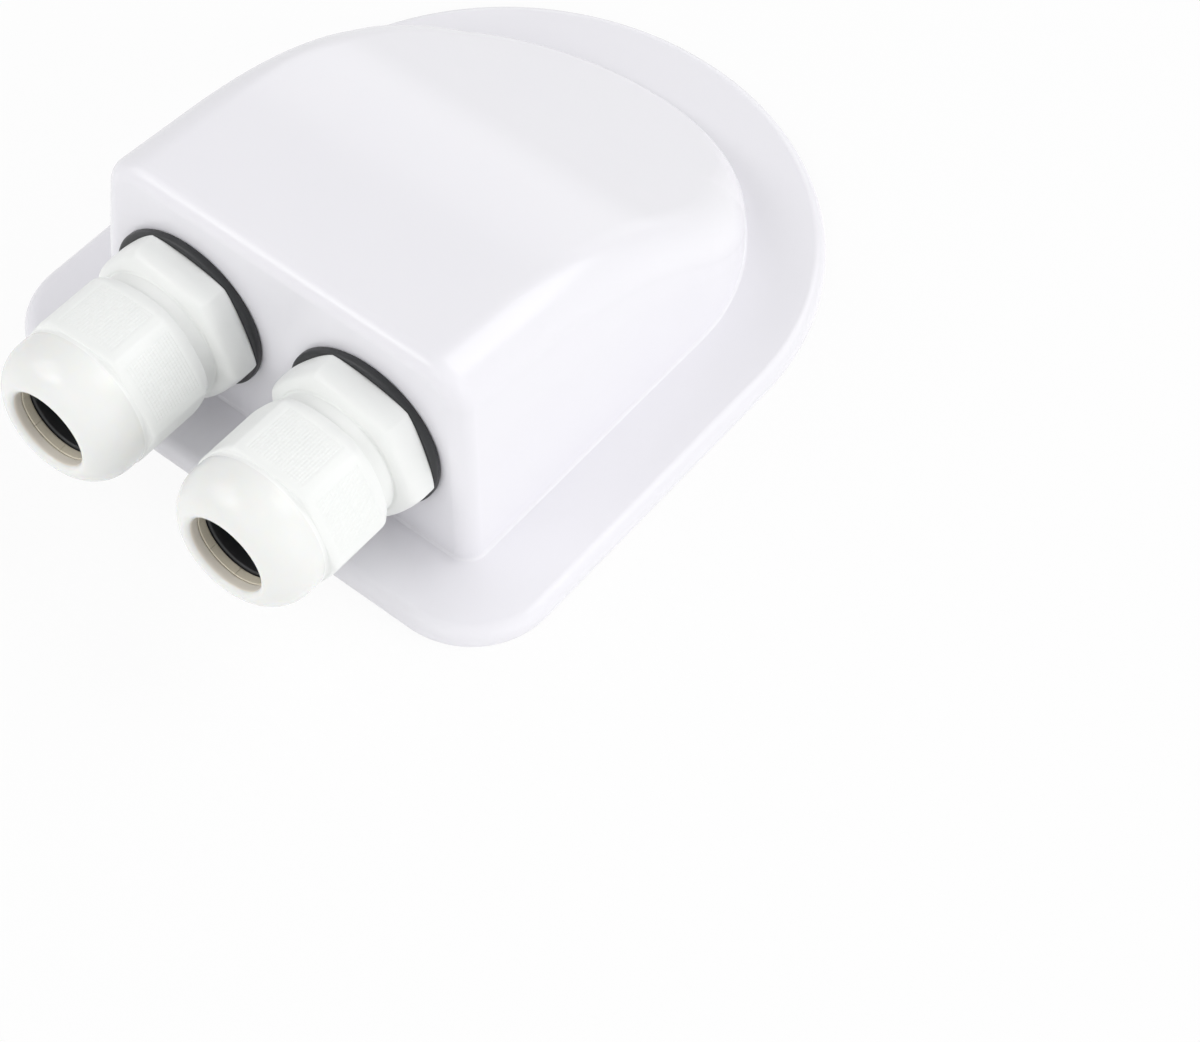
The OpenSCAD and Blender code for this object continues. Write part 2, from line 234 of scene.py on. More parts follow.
def rounded_loop(corners: Sequence[Corner], spacing: float, turn_deg: float = 12.0) -> list[Point2]:
    """Rounds the corners of a closed outline and divides its long stretches.

    Args:
        corners: outline points as (r, w, fillet radius).
        spacing: longest step along the outline.
        turn_deg: largest turn between two steps of a fillet.

    Returns:
        The outline's points, in order.
    """
    points: list[Vector] = []
    count = len(corners)
    for i, (r, w, fillet) in enumerate(corners):
        here = Vector((r, w))
        back = Vector(corners[i - 1][:2]) - here
        ahead = Vector(corners[(i + 1) % count][:2]) - here
        u, v = back.normalized(), ahead.normalized()
        opening = math.acos(max(-1.0, min(1.0, u.dot(v))))
        if fillet <= 0:
            points.append(here)
            continue
        reach = fillet / math.tan(opening / 2)
        centre = here + (u + v).normalized() * (fillet / math.sin(opening / 2))
        start, end = here + u * reach - centre, here + v * reach - centre
        sweep = math.atan2(start.x * end.y - start.y * end.x, start.dot(end))
        by_turn = math.ceil(abs(math.degrees(sweep)) / turn_deg)
        steps = max(2, by_turn, math.ceil(abs(sweep) * fillet / spacing))
        for k in range(steps + 1):
            angle = sweep * k / steps
            cos_a, sin_a = math.cos(angle), math.sin(angle)
            turned = (start.x * cos_a - start.y * sin_a, start.x * sin_a + start.y * cos_a)
            points.append(centre + Vector(turned))
    loop: list[Point2] = []
    for i, here in enumerate(points):
        ahead = points[(i + 1) % len(points)]
        length = (ahead - here).length
        if length < SAME_POINT:
            continue
        parts = max(1, math.ceil(length / spacing))
        loop += [tuple(here.lerp(ahead, k / parts)) for k in range(parts)]
    return loop


def grid_mesh(rows: Sequence[Sequence[Point3]], close_rows: bool) -> bmesh.types.BMesh:
    """Makes a grid of quads through rows of points; each row is a closed ring.

    Args:
        rows: rings with the same number of points.
        close_rows: whether the last ring joins the first, or both ends get a cap.

    Returns:
        A closed mesh in the points' own unit.
    """
    mesh = bmesh.new()
    rings = [[mesh.verts.new(p) for p in row] for row in rows]
    pairs = list(zip(rings, rings[1:]))
    if close_rows:
        pairs.append((rings[-1], rings[0]))
    for first, second in pairs:
        for i, vert in enumerate(first):
            k = (i + 1) % len(first)
            mesh.faces.new((vert, first[k], second[k], second[i]))
    if not close_rows:
        mesh.faces.new(rings[0])
        mesh.faces.new(rings[-1])
    bmesh.ops.recalc_face_normals(mesh, faces=mesh.faces)
    return mesh


def mesh_object(name: str, mesh: bmesh.types.BMesh) -> bpy.types.Object:
    """Links a mesh to the scene as an object, and frees the mesh.

    Args:
        name: the object's name.
        mesh: the mesh to take.

    Returns:
        The new object.
    """
    data = bpy.data.meshes.new(name)
    mesh.to_mesh(data)
    mesh.free()
    made = bpy.data.objects.new(name, data)
    bpy.context.scene.collection.objects.link(made)
    return made


def apply_modifiers(piece: bpy.types.Object) -> None:
    """Replaces a piece's mesh with the result of its modifiers.

    Args:
        piece: the object whose modifiers are applied.
    """
    bpy.context.view_layer.update()
    done = bpy.data.meshes.new_from_object(piece.evaluated_get(bpy.context.evaluated_depsgraph_get()))
    piece.modifiers.clear()
    piece.data = done


def combine(piece: bpy.types.Object, operation: str, tools: Sequence[bpy.types.Object]) -> None:
    """Joins tools to a piece or cuts them from it, and removes the tools.

    Args:
        piece: the closed mesh that is changed.
        operation: UNION or DIFFERENCE.
        tools: closed meshes.
    """
    for tool in tools:
        cut = piece.modifiers.new(operation, "BOOLEAN")
        cut.operation = operation
        cut.solver = "EXACT"
        cut.object = tool
        apply_modifiers(piece)
        bpy.data.objects.remove(tool)


def finish_mesh(piece: bpy.types.Object, sharp_deg: float, cut_points: frozenset[int] = frozenset()) -> None:
    """Turns a piece's millimetres into metres and sets its shading.

    Args:
        piece: the object, with its mesh in millimetres.
        sharp_deg: edges that turn more than this stay sharp.
        cut_points: numbers of the points between which every edge stays sharp.
    """
    piece.data.transform(Matrix.Scale(MM, 4))
    piece.data.shade_smooth()
    piece.data.set_sharp_from_angle(angle=math.radians(sharp_deg))
    for edge in piece.data.edges:
        if cut_points.issuperset(edge.vertices):
            edge.use_edge_sharp = True
    weighted = piece.modifiers.new("weighted", "WEIGHTED_NORMAL")
    weighted.keep_sharp = True
    apply_modifiers(piece)


def dress(piece: bpy.types.Object, body: str, slot: str, node: str, *finishes: bpy.types.Material) -> None:
    """Gives a new piece its finish, its body and the node that it stands for.

    Args:
        piece: the new object.
        body: the body that it rides on.
        slot: the record's material slot; not used.
        node: the node that it replaces.
        finishes: its materials, by slot.
    """
    piece.data.materials.clear()
    for finish in finishes:
        piece.data.materials.append(finish)
    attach(piece, body)
    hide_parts(node)
    log.info("%s: %d faces on %s", piece.name, len(piece.data.polygons), body)


def full_turn(steps: int) -> list[float]:
    """Gives evenly spaced angles round a full turn, in radians."""
    return [2 * math.pi * i / steps for i in range(steps)]


def mm_box(node: str) -> tuple[Vector, Vector]:
    """Gives a node's lowest and highest corners in millimetres."""
    low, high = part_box(node)
    return low / MM, high / MM


@dataclass
class Housing:
    """The moulded hood and its flange, in millimetres; s runs back from the front wall."""

    flange_thickness: float = 3.0
    flange_margin: float = 12.9
    flange_back: float = 13.2
    flange_front: float = 12.4
    flange_corner: float = 14.0
    flange_edge: float = 2.2
    flange_foot_edge: float = 0.3
    hood_half: float = 36.0
    hood_straight: float = 56.0
    hood_height: float = 42.2
    roof_fall: float = 5.4
    knee_distance: float = 36.4
    knee_radius: float = 78.0
    back_lip: float = 1.2
    shoulder: float = 7.4
    front_edge: float = 3.0
    crease_height: float = 24.8
    crease_fall: float = 3.0
    lower_draft: float = 4.2
    upper_draft: float = 5.6
    wall: float = 3.0
    inner_edge: float = 0.8
    shoulder_share: float = 0.7
    crease_share: float = 0.8
    foot_fillet: float = 0.6
    fillet_share: float = 0.25
    root_depth: float = 2.0
    past: float = 1.0
    gland_hole_r: float = 10.3
    back_end_deg: float = 89.8
    flange_foot_share: float = 0.3
    fillet_sink: float = 0.02
    fillet_root_share: float = 0.5
    sharp_deg: float = 30.0
    edge_steps: int = 10
    straight_steps: int = 56
    back_steps: int = 80
    side_steps: int = 5
    shoulder_steps: int = 16
    roof_steps: int = 14
    plan_steps: int = 96
    flange_edge_steps: int = 12
    fillet_steps: int = 5

    def __post_init__(self) -> None:
        """Works out the plan and the roof line from the sizes and the frame."""
        self.front_y = mm_box("left_washer")[1].y
        self.hood_length = self.hood_straight + self.hood_half
        self.flange_half = self.hood_half + self.flange_margin
        self.back_top = self.flange_thickness + self.back_lip
        self.fall = math.radians(self.roof_fall)
        knee_top = self.hood_height - self.knee_distance * math.tan(self.fall)
        self.ramp = math.atan((knee_top - self.back_top) / (self.hood_length - self.knee_distance))
        reach = self.knee_radius * math.tan((self.ramp - self.fall) / 2)
        knee_start = self.knee_distance - reach * math.cos(self.fall)
        self.knee_s = knee_start - self.knee_radius * math.sin(self.fall)
        self.knee_z = (self.hood_height - knee_start * math.tan(self.fall)
                       - self.knee_radius * math.cos(self.fall))

    def roof_z(self, s: float, skin: float) -> float:
        """Gives the height of the roof.

        Args:
            s: distance from the front wall.
            skin: depth below the outer face, square to it.

        Returns:
            The height above the underside.
        """
        radius = self.knee_radius - skin
        if s <= self.knee_s + radius * math.sin(self.fall):
            return self.hood_height - s * math.tan(self.fall) - skin / math.cos(self.fall)
        if s >= self.knee_s + radius * math.sin(self.ramp):
            return self.back_top + (self.hood_length - s) * math.tan(self.ramp) - skin / math.cos(self.ramp)
        return self.knee_z + math.sqrt(radius**2 - (s - self.knee_s) ** 2)

    def side_inset(self, z: float, crease_z: float) -> float:
        """Gives how far the drafted side leans in at a height.

        Args:
            z: height above the underside.
            crease_z: height of the crease there.

        Returns:
            The distance from the line of the foot.
        """
        low = math.tan(math.radians(self.lower_draft))
        high = math.tan(math.radians(self.upper_draft))
        below = min(z, crease_z) - self.flange_thickness
        return below * low + max(z - crease_z, 0.0) * high

    def stations(self, skin: float, edge: float) -> list[Point3]:
        """Lists the stations from the front wall to the back.

        Args:
            skin: depth of the loft below the outer face.
            edge: radius of its front edge.

        Returns:
            Stations as (distance, angle round the back, inset of the front edge).
        """
        quarter = [math.pi / 2 * i / self.edge_steps for i in range(self.edge_steps + 1)]
        front = [(skin + edge * (1 - math.cos(a)), 0.0, edge * (1 - math.sin(a))) for a in quarter]
        start = skin + edge
        length = self.hood_straight - start
        straight = [(start + length * (i + 1) / self.straight_steps, 0.0, 0.0)
                    for i in range(self.straight_steps)]
        end = math.radians(self.back_end_deg)
        back = [(self.hood_straight, end * (i + 1) / self.back_steps, 0.0) for i in range(self.back_steps)]
        return front + straight + back

    def half_section(self, station: Point3, skin: float, foot_z: float) -> list[Point3]:
        """Gives the right half of a section, from the foot over the shoulder to the middle of the roof.

        Args:
            station: one of the stations.
            skin: depth of the loft below the outer face.
            foot_z: height at which the loft starts.

        Returns:
            Points as (x, s, z).
        """
        distance, angle, edge_inset = station

        def spot(inset: float) -> Point2:
            """Gives the plan place at an inset from the line of the foot."""
            reach = self.hood_half - inset
            return reach * math.cos(angle), distance + (reach * math.sin(angle) if angle > 0 else 0.0)

        s = spot(skin)[1]
        roof = self.roof_z(s, skin) - edge_inset
        room = self.roof_z(s, 0.0) - self.flange_thickness
        radius = max(min(self.shoulder, self.shoulder_share * room) - skin - edge_inset, self.inner_edge)
        side_top = roof - radius
        crease_z = min(self.crease_height - s * math.tan(math.radians(self.crease_fall)),
                       foot_z + self.crease_share * (side_top - foot_z))
        section: list[Point3] = []
        for low, high in ((foot_z, crease_z), (crease_z, side_top)):
            for i in range(self.side_steps):
                z = low + (high - low) * i / self.side_steps
                x, ps = spot(skin + edge_inset + self.side_inset(z, crease_z))
                section.append((x, ps, z))
        top_inset = self.side_inset(side_top, crease_z)
        for i in range(self.shoulder_steps + 1):
            a = math.pi / 2 * i / self.shoulder_steps
            x, ps = spot(skin + edge_inset + top_inset + radius * (1 - math.cos(a)))
            section.append((x, ps, self.roof_z(ps, skin) - edge_inset - radius * (1 - math.sin(a))))
        x, ps, z = section[-1]
        section += [(x * (1 - i / self.roof_steps), ps, z) for i in range(1, self.roof_steps + 1)]
        return section

    def loft(self, side: Skin) -> bpy.types.Object:
        """Lofts one face of the hood as a closed mesh.

        Args:
            side: the outer or the inner face.

        Returns:
            The loft, in millimetres.
        """
        outer = side is Skin.OUTER
        skin = 0.0 if outer else self.wall
        edge = self.front_edge if outer else self.inner_edge
        foot_z = self.flange_thickness - self.root_depth if outer else -self.past
        rows = []
        for station in self.stations(skin, edge):
            half = self.half_section(station, skin, foot_z)
            whole = half + [(-x, s, z) for x, s, z in reversed(half[:-1])]
            rows.append([(x, self.front_y + s, z) for x, s, z in whole])
        return mesh_object(f"hood_{side.value}", grid_mesh(rows, close_rows=False))

    def outline(self, half: float, front: float, corner: float, centre_s: float,
                grow: float) -> list[tuple[Vector, float]]:
        """Gives a D-shaped plan: a straight front, two rounded corners, two sides and a round back.

        Args:
            half: half of its width.
            front: how far its front lies before the front wall.
            corner: radius of the front corners.
            centre_s: distance from the front wall to the centre of the round back.
            grow: distance that the outline is moved outwards.

        Returns:
            Plan points with their distance from the front wall.
        """
        points: list[Point2] = []
        turns = self.plan_steps
        for i in range(turns + 1):
            a = math.pi * i / turns
            points.append(((half + grow) * math.cos(a), centre_s + (half + grow) * math.sin(a)))
        for sign in (-1, 1):
            for i in range(turns // 4 + 1):
                a = math.pi / 2 * (i / (turns // 4))
                a = math.pi + a if sign < 0 else 1.5 * math.pi + a
                points.append((sign * (half - corner) + (corner + grow) * math.cos(a),
                               corner - front + (corner + grow) * math.sin(a)))
        return [(Vector((x, self.front_y + s)), s) for x, s in points]

    def flange(self) -> bpy.types.Object:
        """Builds the flange, with its rounded upper edge.

        Returns:
            A closed mesh in millimetres.
        """
        top, edge, foot = self.flange_thickness, self.flange_edge, self.flange_foot_edge
        half_way = foot * self.flange_foot_share
        levels = [(-foot, 0.0), (-half_way, half_way), (0.0, foot)]
        for i in range(self.flange_edge_steps + 1):
            a = math.pi / 2 * i / self.flange_edge_steps
            levels.append((edge * (math.cos(a) - 1), top - edge + edge * math.sin(a)))
        centre_s = self.hood_straight + self.flange_back - self.flange_margin
        rows = []
        for grow, z in levels:
            plan = self.outline(self.flange_half, self.flange_front, self.flange_corner, centre_s, grow)
            rows.append([(p.x, p.y, z) for p, _ in plan])
        return mesh_object("flange", grid_mesh(rows, close_rows=False))

    def foot(self, grow: float) -> list[tuple[Vector, float]]:
        """Gives the plan of the hood's foot, moved outwards by a distance."""
        return self.outline(self.hood_half, 0.0, self.front_edge, self.hood_straight, grow)

    def fillet(self) -> bpy.types.Object:
        """Builds the small concave fillet that runs round the foot of the hood.

        Returns:
            A closed mesh in millimetres.
        """
        lean = math.tan(math.radians(self.lower_draft))
        steps = self.fillet_steps
        rows = []
        for k in range(steps + 3):
            ring = []
            for i, (_, s) in enumerate(self.foot(0.0)):
                free = self.roof_z(max(s, 0.0), 0.0) - self.flange_thickness
                size = min(self.foot_fillet, self.fillet_share * free)
                if k <= steps:
                    a = math.pi / 2 * k / steps
                    grow = size * (1 - math.sin(a)) - size * lean * math.sin(a)
                    z = self.flange_thickness + size * (1 - math.cos(a)) - self.fillet_sink * (1 - k / steps)
                else:
                    grow = -self.fillet_root_share * self.wall
                    z = self.flange_thickness + (size if k == steps + 1 else -self.foot_fillet)
                p = self.foot(grow)[i][0]
                ring.append((p.x, p.y, z))
            rows.append(ring)
        return mesh_object("foot_fillet", grid_mesh(rows, close_rows=True))

    def gland_holes(self) -> list[bpy.types.Object]:
        """Builds the plugs that cut the two gland holes.

        Returns:
            Closed meshes in millimetres.
        """
        plugs = []
        for side in Side:
            low, high = mm_box(f"{side.value}_washer")
            centre = (low + high) / 2
            around = full_turn(self.plan_steps)
            rows = []
            for y in (self.front_y - self.past, self.front_y + self.wall + self.past):
                rows.append([(centre.x + self.gland_hole_r * math.cos(a), y,
                              centre.z + self.gland_hole_r * math.sin(a)) for a in around])
            plugs.append(mesh_object("hole", grid_mesh(rows, close_rows=False)))
        return plugs

    def build(self, finish: bpy.types.Material) -> None:
        """Builds the whole moulding.

        Args:
            finish: its material.
        """
        piece = self.flange()
        piece.name = "housing_shell"
        combine(piece, "UNION", [self.loft(Skin.OUTER), self.fillet()])
        combine(piece, "DIFFERENCE", [self.loft(Skin.INNER), *self.gland_holes()])
        finish_mesh(piece, self.sharp_deg)
        dress(piece, "housing", "housing_abs", "housing", finish)


@dataclass
class Gland:
    """One cable gland, in millimetres; w runs outwards from the front wall."""

    side: Side
    body_turn: float
    nut_turn: float
    body_flats: float = 25.2
    nut_flats: float = 23.8
    entry_r: float = 10.0
    entry_bore_r: float = 7.0
    clamp_r: float = 10.6
    socket_r: float = 8.7
    socket_floor: float = 0.8
    wall: float = 3.0
    washer_thickness: float = 1.5
    washer_edge: float = 0.5
    body_hex: float = 5.5
    clamp_length: float = 10.0
    body_trim: float = 0.3
    body_rim: float = 0.5
    body_cone: float = 1.6
    nut_gap: float = 2.6
    nut_hex: float = 12.6
    dome_length: float = 8.6
    nut_trim: float = 0.6
    nut_rim: float = 0.7
    nut_cone: float = 1.9
    shoulder_radius: float = 0.9
    valley_depth: float = 0.32
    valley_radius: float = 0.6
    dome_step: float = 0.2
    dome_back: float = 1.2
    dome_back_radius: float = 2.2
    nose_radius: float = 6.3
    hole_r: float = 6.5
    lip_radius: float = 1.0
    lip_length: float = 2.1
    # How far past the hole's radius the painted warm shade reaches on the lip
    painted_shade_reach: float = 0.12
    running: float = 0.3
    claw_r: float = 8.4
    claw_nose_r: float = 7.7
    claw_wall: float = 1.3
    claw_tip_r: float = 6.4
    claw_tip: float = 1.45
    claw_bend: float = 0.6
    claw_ring: float = 3.0
    claw_count: int = 8
    claw_slit: float = 0.06
    seal_bore_r: float = 6.0
    seal_foot: float = 1.3
    snug: float = 0.1
    tighten_travel: float = 1.5
    pitch: float = 1.5
    thread_depth: float = 0.5
    thread_lead_in: float = 1.0
    thread_flank: float = 1.5
    thread_crest: float = 0.25
    thread_edge: float = 0.6
    thread_root: float = 0.25
    rib_depth: float = 0.08
    rib_margin: float = 0.4
    rib_side_margin: float = 1.7
    locknut_flats: float = 25.6
    locknut_thickness: float = 5.0
    locknut_turn: float = 30.0
    locknut_gap: float = 0.1
    locknut_trim: float = 0.2
    locknut_edge: float = 1.0
    locknut_rim: float = 0.7
    thread_stub: float = 2.0
    entry_thread_end: float = 0.5
    corner_blend: float = 2.0
    body_blend: float = 2.4
    fine_edge: float = 0.2
    soft_edge: float = 0.3
    bore_edge: float = 0.4
    hex_edge: float = 0.5
    body_round: float = 3.0
    nut_round: float = 1.2
    lip_edge: float = 0.1
    tip_edge: float = 0.15
    sharp_deg: float = 40.0
    spacing: float = 0.275
    locknut_spacing: float = 0.4
    insert_spacing: float = 0.8
    washer_spacing: float = 1.0
    ring_steps: int = 120

    def __post_init__(self) -> None:
        """Works out the places along the axis, and the axis from the frame."""
        low, high = mm_box(f"{self.side.value}_washer")
        self.axis = (low + high) / 2
        self.front_y = high.y
        self.washer_r = (high.x - low.x) / 2
        self.hex_start = self.washer_thickness
        self.hex_end = self.hex_start + self.body_hex
        self.clamp_end = self.hex_end + self.clamp_length
        self.nut_start = self.hex_end + self.nut_gap
        self.nut_shoulder = self.nut_start + self.nut_hex
        self.nut_end = self.nut_shoulder + self.dome_length
        self.throat_start = self.clamp_end + self.tighten_travel + self.running
        self.throat_end = self.nut_end - self.lip_length
        self.locknut_start = -self.wall - self.locknut_thickness
        self.thread_start = self.locknut_start - self.thread_stub
        self.seal_start = self.hex_end + self.socket_floor + self.tighten_travel + self.running
        self.claw_end = self.throat_end - self.snug
        self.body_r = self.corner_r(self.body_flats) - self.body_trim
        self.nut_r = self.corner_r(self.nut_flats) - self.nut_trim
        self.dome_r = self.nut_flats / 2 - self.dome_step

    @staticmethod
    def corner_r(flats: float) -> float:
        """Gives the radius of a hexagon's corners from its width across flats."""
        return flats / 2 / math.cos(math.radians(30))

    def angles(self, flats: float, turn: float) -> list[float]:
        """Gives angles round a hexagon, evenly spaced along its flats.

        Args:
            flats: width across flats.
            turn: angle of one corner, in degrees.

        Returns:
            Angles in radians, six times an even number of them.
        """
        half_width = flats / 2 * math.tan(math.radians(30))
        count = 2 * round(half_width / self.spacing)
        one = [math.atan(half_width * (2 * i / count - 1) / (flats / 2)) for i in range(count)]
        return [math.radians(turn + 30 + 60 * k) + a for k in range(6) for a in one]

    def hexagon(self, flats: float, turn: float, angle: float) -> float:
        """Gives the radius of a hexagon in a direction.

        Args:
            flats: width across flats.
            turn: angle of one corner, in degrees.
            angle: direction in radians.

        Returns:
            The distance from the axis to the flat.
        """
        part = (math.degrees(angle) - turn) % 60 - 30
        return flats / 2 / math.cos(math.radians(part))

    def thread(self, angle: float, w: float) -> float:
        """Gives the depth of a right-hand thread below its crest.

        Args:
            angle: direction in radians.
            w: place along the axis.

        Returns:
            A depth from 0 at the crest to the full depth at the root.
        """
        phase = (w / self.pitch - angle / (2 * math.pi)) % 1
        slope = abs(2 * phase - 1)
        return self.thread_depth * min(1.0, max(0.0, self.thread_flank * slope - self.thread_crest))

    def revolve(self, name: str, loop: Sequence[Point2], angles: Sequence[float],
                shape: Shape) -> bpy.types.Object:
        """Turns a closed section round the gland's axis.

        Args:
            name: the piece's name.
            loop: section points as (r, w).
            angles: directions in radians.
            shape: gives the radius of each point.

        Returns:
            A closed mesh in millimetres.
        """
        rows = []
        for j, (r, w) in enumerate(loop):
            row = []
            for i, a in enumerate(angles):
                radius = shape(a, r, w, i, j)
                row.append((self.axis.x + radius * math.cos(a), self.front_y - w,
                            self.axis.z + radius * math.sin(a)))
            rows.append(row)
        return mesh_object(name, grid_mesh(rows, close_rows=True))

    def ring(self, name: str, loop: Sequence[Point2]) -> bpy.types.Object:
        """Turns a closed section into a plain round ring."""
        return self.revolve(name, loop, full_turn(self.ring_steps), lambda a, r, w, i, j: r)

    def name(self, piece: str) -> str:
        """Gives a piece's full name, with its side."""
        return f"{self.side.value}_{piece}"

    def washer(self, finish: bpy.types.Material) -> None:
        """Builds the pressed rubber washer, with rounded rims.

        Args:
            finish: its material.
        """
        edge, top = self.washer_edge, self.washer_thickness
        inner = self.entry_r + self.running
        loop = rounded_loop([
            (inner, 0.0, self.fine_edge), (self.washer_r, 0.0, edge),
            (self.washer_r, top, edge), (inner, top, self.fine_edge)], self.washer_spacing)
        piece = self.ring(self.name("washer_ring"), loop)
        finish_mesh(piece, self.sharp_deg)
        dress(piece, "housing", "rubber", self.name("washer"), finish)

    def body(self, finish: bpy.types.Material) -> None:
        """Builds the gland body: entry thread, hexagon, clamping thread and socket.

        Args:
            finish: its material.
        """
        socket = self.hex_end + self.socket_floor
        loop = rounded_loop([
            (self.entry_bore_r, self.thread_start, self.bore_edge),
            (self.entry_r, self.thread_start, self.thread_edge),
            (self.entry_r, self.hex_start, 0.0),
            (self.body_r, self.hex_start, self.hex_edge),
            (self.body_r, self.hex_end - self.body_cone, self.body_round),
            (self.clamp_r + self.body_rim, self.hex_end, self.thread_edge),
            (self.clamp_r, self.hex_end, self.thread_root),
            (self.clamp_r, self.clamp_end, self.thread_edge),
            (self.socket_r, self.clamp_end, self.soft_edge),
            (self.socket_r, socket, self.fine_edge),
            (self.entry_bore_r, socket, self.fine_edge)], self.spacing)
        clamp_from, clamp_to = self.nut_start, self.clamp_end - self.thread_edge
        entry_from, entry_to = self.thread_start + self.thread_edge, self.entry_thread_end

        def shape(a: float, r: float, w: float, i: int, j: int) -> float:
            """Cuts the flats and both threads.

            Args:
                a, r, w, i, j: as for a Shape.

            Returns:
                The radius there.
            """
            if self.hex_start - NEAR <= w <= self.hex_end and r > self.clamp_r + self.body_rim:
                return soft_min(self.hexagon(self.body_flats, self.body_turn, a), r, self.body_blend)
            if abs(r - self.clamp_r) < NEAR and clamp_from < w < clamp_to:
                return r - self.thread(a, w) * min(1.0, (w - clamp_from) / self.thread_lead_in)
            if abs(r - self.entry_r) < NEAR and entry_from < w < entry_to:
                return r - self.thread(a, w)
            return r

        angles = self.angles(self.body_flats, self.body_turn)
        piece = self.revolve(self.name("gland_base"), loop, angles, shape)
        finish_mesh(piece, self.sharp_deg)
        dress(piece, "housing", "gland_nylon", self.name("gland_body"), finish)

    def locknut(self, finish: bpy.types.Material) -> None:
        """Builds the hexagonal locknut inside the hood.

        Args:
            finish: its material.
        """
        inner = self.entry_r + self.locknut_gap
        outer = self.corner_r(self.locknut_flats) - self.locknut_trim
        loop = rounded_loop([
            (inner, self.locknut_start, self.thread_edge), (outer, self.locknut_start, self.locknut_edge),
            (outer, -self.wall, self.thread_edge), (inner, -self.wall, self.soft_edge)], self.locknut_spacing)

        def shape(a: float, r: float, w: float, i: int, j: int) -> float:
            """Cuts the flats and leaves the bore round.

            Args:
                a, r, w, i, j: as for a Shape.

            Returns:
                The radius there.
            """
            if r <= inner + self.locknut_rim:
                return r
            return soft_min(self.hexagon(self.locknut_flats, self.locknut_turn, a), r, self.corner_blend)

        angles = self.angles(self.locknut_flats, self.locknut_turn)
        piece = self.revolve(self.name("locking_ring"), loop, angles, shape)
        finish_mesh(piece, self.sharp_deg)
        dress(piece, "housing", "gland_nylon", self.name("locknut"), finish)

    def claws(self, finish: bpy.types.Material) -> None:
        """Builds the claw insert, with its claws drawn together so that the slots are fine slits.

        Args:
            finish: its material.
        """
        start, end = self.seal_start + self.seal_foot, self.claw_end
        tip = end - self.claw_tip
        inner = self.claw_r - self.claw_wall
        loop = rounded_loop([
            (inner, start, self.fine_edge), (self.claw_r, start, self.soft_edge),
            (self.claw_r, tip, self.claw_bend), (self.claw_nose_r, end, self.soft_edge),
            (self.claw_tip_r, end, self.tip_edge), (self.claw_tip_r, tip, self.fine_edge),
            (inner, tip, 0.0)], self.insert_spacing)
        piece = self.ring(self.name("claw_ring"), loop)
        low, high = start + self.claw_ring, end + self.claw_tip
        middle = Matrix.Translation((self.axis.x, self.front_y - (low + high) / 2, self.axis.z))
        out = Matrix.Translation((self.claw_r, 0.0, 0.0))
        size = Matrix.Diagonal((2 * self.claw_wall + 2 * self.claw_tip, high - low, self.claw_slit, 1.0))
        slits = []
        for a in full_turn(self.claw_count):
            blade = bmesh.new()
            bmesh.ops.create_cube(blade, size=1.0)
            blade.transform(middle @ Matrix.Rotation(a, 4, "Y") @ out @ size)
            slits.append(mesh_object("slit", blade))
        combine(piece, "DIFFERENCE", slits)
        finish_mesh(piece, self.sharp_deg)
        dress(piece, f"{self.side.value}_insert", "claw_nylon", self.name("claw_insert"), finish)

    def seal(self, finish: bpy.types.Material) -> None:
        """Builds the rubber sleeve inside the claws, on its foot.

        Args:
            finish: its material.
        """
        end = self.claw_end - self.claw_tip - self.snug
        outer = self.claw_r - self.claw_wall - self.snug
        foot = self.seal_start + self.seal_foot
        loop = rounded_loop([
            (self.seal_bore_r, self.seal_start, self.soft_edge),
            (self.claw_r, self.seal_start, self.fine_edge), (self.claw_r, foot, self.fine_edge),
            (outer, foot, 0.0), (outer, end, self.fine_edge),
            (self.seal_bore_r, end, self.bore_edge)], self.insert_spacing)
        piece = self.ring(self.name("seal_sleeve"), loop)
        finish_mesh(piece, self.sharp_deg)
        dress(piece, f"{self.side.value}_insert", "rubber", self.name("seal"), finish)

    def nose(self) -> list[Corner]:
        """Gives the two corners whose fillets run into each other as the nose and the lip of the hole.

        Returns:
            Outline points as (r, w, fillet radius).
        """
        lip = Vector((self.hole_r + self.lip_radius, self.nut_end - self.lip_radius))
        beside = lip.x - (self.dome_r - self.nose_radius)
        out = Vector((beside, math.sqrt((self.nose_radius - self.lip_radius) ** 2 - beside**2))).normalized()
        touch = lip + out * self.lip_radius
        slope = -out.x / out.y
        return [(self.dome_r, touch.y + slope * (self.dome_r - touch.x), self.nose_radius),
                (self.hole_r, touch.y + slope * (self.hole_r - touch.x), self.lip_radius)]

    def dome_nut(self, pebbled: bpy.types.Material, polished: bpy.types.Material,
                 lip: bpy.types.Material) -> None:
        """Builds the dome nut: ribbed flats, a soft shoulder over a valley, the nose and the cable hole.

        Args:
            pebbled: finish of the hexagon.
            polished: finish of the dome.
            lip: material inside the cable hole: the same nylon with a painted warm shade.
        """
        bore = self.clamp_r + self.running
        valley_r = self.nut_flats / 2 - self.valley_depth
        dome_w = self.nut_shoulder + self.dome_back
        loop = rounded_loop([
            (bore, self.nut_start, self.soft_edge),
            (bore + self.nut_rim, self.nut_start, self.hex_edge),
            (self.nut_r, self.nut_start + self.nut_cone, self.nut_round),
            (self.nut_r, self.nut_shoulder, self.shoulder_radius),
            (valley_r, self.nut_shoulder, self.valley_radius),
            (self.dome_r, dome_w, self.dome_back_radius), *self.nose(),
            (self.hole_r, self.throat_end, self.lip_edge),
            (self.claw_nose_r + self.running, self.throat_end, self.fine_edge),
            (self.claw_r + self.running, self.throat_start, 0.0),
            (bore, self.throat_start, 0.0)], self.spacing)
        angles = self.angles(self.nut_flats, self.nut_turn)
        flat_count = len(angles) // 6
        half_width = self.nut_flats / 2 * math.tan(math.radians(30))
        rib_low = self.nut_start + self.nut_cone + self.rib_margin
        rib_high = self.nut_shoulder - self.shoulder_radius - self.rib_margin

